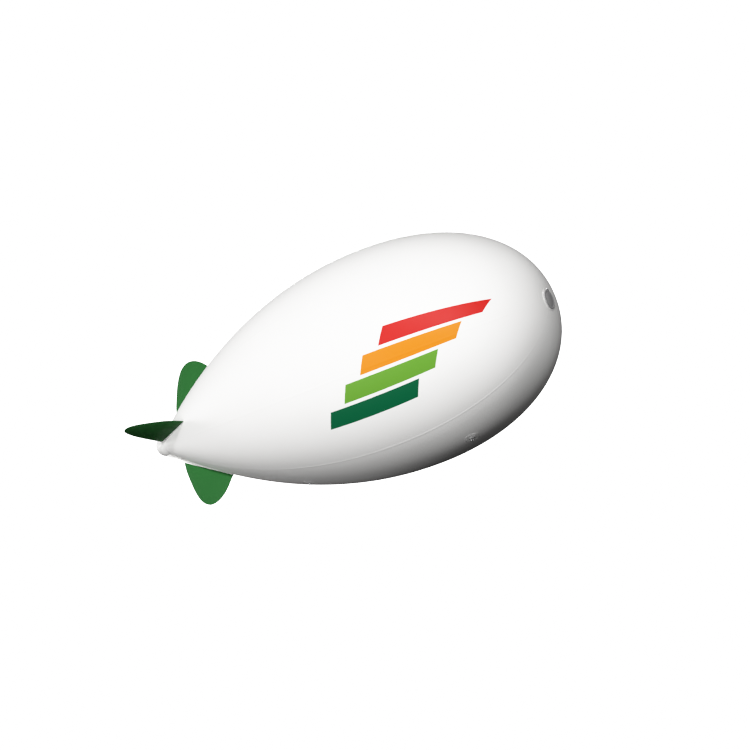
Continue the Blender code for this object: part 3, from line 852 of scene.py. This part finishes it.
def stitch_tree():
    """Rows of sewing stitches: short rounded threads on a grid, instanced."""
    sizes = {"Rows": 4, "Per Row": 8, "Pitch": 0.0026, "Row Gap": 0.0055}
    sizes |= {"Stitch Length": 0.0019, "Thread": 0.00035, "Height": 0.0, "Shift": 0.0}
    tree, given, made = new_geometry_tree("stitch_rows", sizes)
    lattice = {
        "Size X": (given["Rows"] - 1.0) * given["Row Gap"],
        "Size Y": (given["Per Row"] - 1.0) * given["Pitch"],
        "Vertices X": given["Rows"],
        "Vertices Y": given["Per Row"],
    }
    grid = add_node(tree, "GeometryNodeMeshGrid", lattice)["Mesh"]
    spots = add_node(tree, "GeometryNodeMeshToPoints", {"Mesh": grid})[0]
    ball = add_node(tree, "GeometryNodeMeshUVSphere", {"Segments": 8, "Rings": 6, "Radius": 1.0})["Mesh"]
    size = vector(tree, X=given["Thread"], Y=given["Stitch Length"] * 0.5, Z=given["Thread"])
    copies = {"Points": spots, "Instance": ball, "Scale": size}
    copies = add_node(tree, "GeometryNodeInstanceOnPoints", copies)[0]
    moved = {"Geometry": copies, "Translation": vector(tree, X=given["Shift"], Z=given["Height"])}
    return end_tree(tree, given, made, add_node(tree, "GeometryNodeTransform", moved)[0])


# Pieces

def make_envelope(materials):
    tree = gore_tree()
    for index, gore in enumerate(GORE_NAMES):
        name = "gore_skin_" + gore
        roll = {"Roll": 2.0 * math.pi * index / GORE_COUNT}
        holder = add_object("holder", grown_mesh(tree, name, materials["envelope"], roll))
        wall = holder.modifiers.new("wall", "SOLIDIFY")
        wall.thickness = WALL
        wall.offset = -1.0
        mesh = plain_mesh(holder, name)
        set_sharp(mesh, 40.0)
        new_piece(name, mesh, materials["envelope"], "gore_" + gore)
    tapes = grown_mesh(tape_tree(), "seam_tapes", materials["tape"], {})
    new_piece("seam_tapes", tapes, materials["tape"])


def make_tail_cap(materials):
    """Rounded end: half a ball, a fillet, and a lap that lies on the gores."""
    middle = (TAIL_CAP_RADIUS, 0.0)
    profile = arc(middle, TAIL_CAP_RADIUS, 180.0, 90.0, 32)
    lap_start = offset_point(CAP_LAP_START, CAP_START_HEIGHT)
    profile += [tuple(point) for point in curve_points((profile[-1], CAP_CORNER, lap_start), 8)[1:]]
    profile += [
        offset_point(CAP_LAP_END, CAP_END_HEIGHT),
        offset_point(CAP_LAP_END + CAP_LAP_EDGE, CAP_UNDERSIDE),
        offset_point(TAIL_CAP_END, CAP_UNDERSIDE),
        (TAIL_CAP_END - SEAM_GAP, envelope_radius(TAIL_CAP_END) - WALL),
    ]
    profile += arc(middle, TAIL_CAP_RADIUS - WALL, 90.0, 180.0, 24)
    for end in (0, -1):
        profile[end] = (profile[end][0], 0.0)
    mesh = turned_mesh("tail_cap_skin", profile, 128)
    new_piece("tail_cap_skin", mesh, materials["cap"], "tail_cap")


def fin_rim(outline):
    """Points of a fin's edge: a smooth curve through the table's points, then the straight root."""
    points = [Vector(point) for point in FIN_OUTLINES[outline]]
    line = points[:1] + points + points[-1:]
    rim = []
    for before, start, end, after in zip(line, points, points[1:], line[3:]):
        controls = (start, start + (end - before) / 6.0, end - (after - start) / 6.0, end)
        rim += curve_points(controls, FIN_CURVE_STEPS)[:-1]
    return rim + straight_points(points[-1], points[0], FIN_ROOT_STEPS)


def inset(rim, middle, distance):
    """The closed line moved towards its middle by a distance, so that sharp corners don't fold."""
    return [point + (middle - point).normalized() * distance for point in rim]


def make_fins(materials):
    """Inflated leaves with a flat welded rim, puckered a little where the film leaves the weld."""
    for fin, roll, outline in FINS:
        rim = fin_rim(outline)
        middle = sum(rim, Vector((0.0, 0.0))) / len(rim)
        welded = inset(rim, middle, FIN_WELD_WIDTH)
        puckers = []
        for run in run_lengths(rim, rim[-1]):
            drift = 2.0 * math.sin(run * PUCKER_DRIFT)
            puckers.append(PUCKER_HEIGHT * math.sin(run * 2.0 * math.pi / PUCKER_PITCH + drift))
        bm = bmesh.new()
        faces = {}
        for side in (1, -1):
            rows = []
            for distance, half in FIN_EDGE:
                line = inset(rim, middle, distance)
                rows.append([bm.verts.new(rolled(p.x, p.y, roll, side * half)) for p in line])
            for share in FIN_SHARES:
                swell = FIN_WELD_HALF + (FIN_MID_HALF - FIN_WELD_HALF) * (1.0 - share**2) ** 0.75
                depth = math.exp(-(((share - PUCKER_SHARE) / PUCKER_SPREAD) ** 2))
                row = []
                for edge, pucker in zip(welded, puckers):
                    point = middle.lerp(edge, share)
                    half = side * (swell + depth * pucker)
                    row.append(bm.verts.new(rolled(point.x, point.y, roll, half)))
                rows.append(row)
            rows.append([bm.verts.new(rolled(middle.x, middle.y, roll, side * FIN_MID_HALF))])
            faces[side] = rows
        join_rows(bm, faces[1][::-1] + faces[-1])
        name = "fin_skin_" + fin
        new_piece(name, mesh_of(bm, name, sharp=50.0), materials["fin"], "fin_" + fin)


def web_edge(outline):
    """Upper edge of a web: the fin's root, then the curve down to the tail."""
    lead = Vector(FIN_OUTLINES[outline][-1])
    trail = Vector(FIN_OUTLINES[outline][0])
    first, second, end_station = WEB_TAIL_CURVES[outline]
    end = (end_station, skin_radius(end_station) + WEB_END_HEIGHT)
    root = straight_points(lead, trail, WEB_ROOT_STEPS)
    return root + curve_points((trail, first, second, end), WEB_TAIL_STEPS)


def make_webs(materials):
    """White membranes between the fins and the envelope, with a corded root, a corded aft edge and a foot."""
    for web, roll, outline in FINS:
        edge = web_edge(outline)
        bm = bmesh.new()
        rows = []
        for i, point in enumerate(edge):
            closing = math.sin(math.pi / 2.0 * min(1.0, (len(edge) - 1 - i) / WEB_CLOSING_ROWS))
            low = skin_radius(point.x) + WEB_LIFT
            high = max(point.y - SEAM_GAP, low + WEB_MIN_HEIGHT)
            sides = {1: [], -1: []}
            for k in range(WEB_ACROSS_STEPS + 1):
                here = low + (high - low) * k / WEB_ACROSS_STEPS
                cord = math.exp(-(((high - here) / WEB_CORD_REACH) ** 2))
                half = WEB_FILM_HALF + (WEB_CORD_HALF - WEB_FILM_HALF) * cord
                half += WEB_FLARE * math.exp(-(here - low) / WEB_FLARE_REACH)
                half = WEB_END_HALF + (half - WEB_END_HALF) * closing
                for side, line in sides.items():
                    line.append(bm.verts.new(rolled(point.x, here, roll, side * half)))
            rows.append(sides[1] + sides[-1][::-1])
        join_rows(bm, rows)
        for row in (rows[0], rows[-1]):
            half_row = len(row) // 2
            join_rows(bm, [row[:half_row], row[: half_row - 1 : -1]], ring=False)
        name = "web_skin_" + web
        new_piece(name, mesh_of(bm, name, sharp=60.0), materials["web"], "web_" + web)


def make_nose_doubler(materials):
    """A round patch with a hole, that follows the envelope and has two pressed weld rings."""
    high = 0.0022
    low = 0.0016
    # columns: radius, height over the envelope
    table = (
        (TUBE_RADIUS + 0.0015, 0.0020),
        (0.066, high),
        (0.078, high),
        *weld_groove(0.0840, 0.0025, high, low),
        *weld_groove(0.0905, 0.0025, high, low),
        (0.0975, 0.0020),
        (0.0995, 0.0013),
        (DOUBLER_RADIUS, 0.0004),
    )
    outside = [offset_point(nose_station(radius), height) for radius, height in table]
    inside = [offset_point(nose_station(radius), SEAM_GAP) for radius, _ in reversed(table)]
    mesh = turned_mesh("nose_doubler_skin", outside + inside, 160)
    new_piece("nose_doubler_skin", mesh, materials["doubler"], "nose_doubler")


def drilled(mesh):
    """The mesh with the hinge's bore through it."""
    mesh = boolean(mesh, hinge_rod(PIN_RADIUS + SEAM_GAP, -BORE_REACH, BORE_REACH), "DIFFERENCE")
    set_sharp(mesh, 35.0)
    return mesh


def make_port_ring(materials):
    """Flanged tube with rounded and chamfered edges, and two ears that hold the hinge pin."""
    mouth = PORT_BORE + PORT_ROUNDING
    rim = FLANGE_RADIUS - PORT_ROUNDING
    rounding = FLANGE_FRONT - PORT_ROUNDING
    profile = [(FLANGE_FRONT, mouth), (FLANGE_FRONT, rim)]
    profile += arc((rounding, rim), PORT_ROUNDING, 0.0, 90.0, 4)[1:]
    profile += [
        (FLANGE_BACK + PORT_CHAMFER, FLANGE_RADIUS),
        (FLANGE_BACK, FLANGE_RADIUS - PORT_CHAMFER),
        (FLANGE_BACK, TUBE_RADIUS),
        (TUBE_BACK, TUBE_RADIUS),
        (TUBE_BACK, PORT_BORE),
    ]
    profile += arc((rounding, mouth), PORT_ROUNDING, 270.0, 360.0, 4)[:-1]
    mesh = turned_mesh("port_ring_skin", profile, 128)
    inner = KNUCKLE_HALF + SEAM_GAP
    for low_y, high_y in ((-inner - EAR_WIDTH, -inner), (inner, inner + EAR_WIDTH)):
        low = (FLANGE_BACK, low_y, EAR_BOTTOM)
        ear = box_mesh(low, (FLANGE_FRONT - 0.0002, high_y, HINGE_HEIGHT))
        mesh = boolean(mesh, ear, "UNION")
        mesh = boolean(mesh, hinge_rod(HINGE_RADIUS, low_y, high_y), "UNION")
    new_piece("port_ring_skin", drilled(mesh), materials["port"], "port_ring")


def make_nose_disc(materials):
    """Flat cover with a shallow dish and a groove in its face, and the middle knuckle of the hinge."""
    rim = COVER_RADIUS - COVER_ROUNDING
    # columns: depth under the face, radius
    dish = ((0.0004, 0.0), (0.0004, 0.064), (0.0010, 0.0655), (0.0010, 0.0670), (0.0, 0.0685), (0.0, rim))
    profile = [(COVER_FACE - depth, radius) for depth, radius in dish]
    profile += arc((COVER_FACE - COVER_ROUNDING, rim), COVER_ROUNDING, 0.0, 90.0, 6)[1:]
    profile += [
        (COVER_BACK + COVER_CHAMFER, COVER_RADIUS),
        (COVER_BACK, COVER_RADIUS - COVER_CHAMFER),
        (COVER_BACK, 0.0),
    ]
    mesh = turned_mesh("nose_disc_skin", profile, 128)
    neck_half = KNUCKLE_HALF - 0.001
    low = (COVER_BACK, -neck_half, COVER_RADIUS - 0.004)
    mesh = boolean(mesh, box_mesh(low, (COVER_FACE - 0.001, neck_half, HINGE_HEIGHT)), "UNION")
    mesh = boolean(mesh, hinge_rod(HINGE_RADIUS, -KNUCKLE_HALF, KNUCKLE_HALF), "UNION")
    disc = materials["disc"]
    new_piece("nose_disc_skin", drilled(mesh), disc, "nose_disc", "nose_cover")


def make_hinge_pin(materials):
    """A pin with two rounded heads, turned about the envelope's axis and then laid along the hinge."""
    seat = KNUCKLE_HALF + EAR_WIDTH + 2 * SEAM_GAP
    end = KNUCKLE_HALF + EAR_WIDTH + 0.002
    # columns: place along the pin, radius
    head = (
        (seat, PIN_RADIUS),
        (seat, PIN_HEAD_RADIUS),
        (seat + 0.0003, PIN_HEAD_RADIUS),
        (end - 0.0004, 0.0026),
        (end, 0.0016),
        (end, 0.0),
    )
    mesh = turned_mesh("hinge_pin_skin", [(-y, radius) for y, radius in reversed(head)] + list(head), 32)
    to_axis = Matrix.Translation((ORIGIN_STATION, 0.0, 0.0))
    hinge = Matrix.Translation((HINGE_STATION - ORIGIN_STATION, 0.0, HINGE_HEIGHT))
    mesh.transform(hinge @ Matrix.Rotation(math.pi / 2.0, 4, "Z") @ to_axis)
    new_piece("hinge_pin_skin", mesh, materials["pin"], "hinge_pin")


def tether_frame(station):
    """Matrix on the belly line: X along the envelope towards the nose, Y out of it, Z across."""
    along, out = profile_normal(station)
    outward = Vector((along, 0.0, -out))
    forward = Vector((out, 0.0, along))
    matrix = Matrix((forward, outward, forward.cross(outward))).transposed().to_4x4()
    matrix.translation = Vector((station - ORIGIN_STATION, 0.0, -envelope_radius(station)))
    return matrix


def belly_point(station, height, reach, turn):
    """A point over the envelope, by its reach and turn about a station of the belly line."""
    angle = math.radians(turn)
    _, out = profile_normal(station)
    here, radius = offset_point(station + reach * math.cos(angle) * out, height)
    swing = math.degrees(reach * math.sin(angle) / envelope_radius(station))
    return rolled(here, radius, 180.0 + swing)


def make_patch(tether, station, materials):
    """A round doubler on the belly line that follows the envelope, with two pressed weld rings."""
    high = 0.0022
    low = 0.0017
    underside = 0.0003
    # columns: radius, height over the envelope
    table = (
        (0.0, high),
        (0.020, high),
        (0.040, high),
        *weld_groove(0.0555, 0.0020, high, low),
        *weld_groove(0.0610, 0.0020, high, low),
        (0.0680, 0.0020),
        (0.0695, 0.0013),
        (PATCH_RADIUS, 0.0004),
        (0.0550, underside),
        (0.0300, underside),
        (0.0, underside),
    )
    name = "tether_patch_skin_" + tether
    profile = [(height, reach) for reach, height in table]
    mesh = turned_mesh(name, profile, 96, partial(belly_point, station))
    new_piece(name, mesh, materials["doubler"], "tether_patch_" + tether)


def make_loop(tether, place, materials):
    """Webbing over the ring's bar: a strap of constant thickness on one path, with rounded selvedges."""
    half = LOOP_THICKNESS / 2.0
    hump = LOOP_INNER_RADIUS + half
    flat = LOOP_BASE + half
    run = LOOP_FOOT - hump - LOOP_EASE
    foot = [(run * i / LOOP_STEPS - LOOP_FOOT, flat) for i in range(LOOP_STEPS + 1)]
    foot.append((-hump - LOOP_EASE * 0.3, flat + LOOP_EASE * 0.25))
    over = arc((0.0, LOOP_BAR), hump, 180.0, 0.0, 20)
    path = [Vector(point) for point in foot + over + [(-x, y) for x, y in reversed(foot)]]
    upper = []
    for i in range(2 * LOOP_STEPS + 1):
        across = i / LOOP_STEPS - 1.0
        upper.append((half * (1.0 - SELVEDGE_THINNING * abs(across) ** 10), LOOP_HALF_WIDTH * across))
    bm = bmesh.new()
    layer = bm.loops.layers.uv.new("strap")
    rows = swept_rows(bm, path, upper + [(-out, across) for out, across in reversed(upper)])
    spots = {}
    for row, run in zip(rows, run_lengths(path, path[0])):
        spots.update({vertex: (run, vertex.co.z) for vertex in row})
    for face in join_rows(bm, rows):
        for corner in face.loops:
            corner[layer].uv = spots[corner.vert]
    bm.faces.new(rows[0])
    bm.faces.new(rows[-1])
    name = "tether_loop_skin_" + tether
    mesh = mesh_of(bm, name, sharp=60.0)
    mesh.transform(place)
    new_piece(name, mesh, materials["webbing"], "tether_loop_" + tether)


def ring_path():
    """Centre line of the D-ring: its bar on y = 0, its bow below, as (across, down)."""
    shrink = RING_SECTION / 2.0
    half = RING_HALF_WIDTH - shrink
    corner = RING_CORNER - shrink
    bow = RING_HALF_WIDTH * RING_BOW - shrink
    bow_height = -RING_DROP + shrink + bow
    corners = arc((half - corner, -corner), corner, 0.0, 90.0, 14)
    corners += arc((corner - half, -corner), corner, 90.0, 180.0, 14)
    corners += arc((bow - half, bow_height), bow, 180.0, 270.0, 14)
    corners += arc((half - bow, bow_height), bow, 270.0, 360.0, 14)
    corners = [Vector(point) for point in corners]
    path = []
    for point, following in zip(corners, corners[1:] + corners[:1]):
        length = (following - point).length
        if length > 1e-6:
            path += straight_points(point, following, max(1, int(length / RING_STEP)))
    return path


def make_ring(tether, place, materials):
    """Steel D-ring of a slightly flattened round section."""
    section = []
    for out, across in arc((0.0, 0.0), 1.0, 0.0, 360.0, RING_SIDES)[:-1]:
        section.append((out * RING_SECTION / 2.0, across * RING_HALF_THICKNESS))
    bm = bmesh.new()
    join_rows(bm, swept_rows(bm, ring_path(), section, closed=True), closed=True)
    name = "tether_ring_skin_" + tether
    mesh = mesh_of(bm, name)
    bar = place @ Vector((0.0, LOOP_BAR, 0.0))
    mesh.transform(Matrix.Translation(bar) @ Matrix(((0, 0, 1), (1, 0, 0), (0, 1, 0))).to_4x4())
    new_piece(name, mesh, materials["ring"], "tether_ring_" + tether, tether + "_ring")


def make_stitches(tether, place, tree, materials):
    """The rows of stitches that hold both feet of a loop."""
    height = LOOP_BASE + LOOP_THICKNESS + 0.0001
    shift = (LOOP_FOOT + LOOP_INNER_RADIUS + LOOP_THICKNESS) / 2.0
    both = bmesh.new()
    for side in (-1.0, 1.0):
        values = {"Height": height, "Shift": side * shift}
        mesh = grown_mesh(tree, "stitches", materials["thread"], values)
        both.from_mesh(mesh)
        bpy.data.meshes.remove(mesh)
    lay = place @ Matrix(((1, 0, 0), (0, 0, 1), (0, 1, 0))).to_4x4()
    bmesh.ops.transform(both, matrix=lay, verts=both.verts)
    name = "tether_stitches_" + tether
    new_piece(name, mesh_of(both, name), materials["thread"])


def make_tethers(materials):
    stitches = stitch_tree()
    for tether, station in TETHERS:
        place = tether_frame(station)
        make_patch(tether, station, materials)
        make_loop(tether, place, materials)
        make_ring(tether, place, materials)
        make_stitches(tether, place, stitches, materials)


make_camera()
make_stage()
make_world()
make_lights()
set_tones()
finishes = make_materials()
for make in (
    make_envelope, make_tail_cap, make_fins, make_webs, make_nose_doubler, make_port_ring, make_nose_disc,
    make_hinge_pin, make_tethers,
):
    make(finishes)
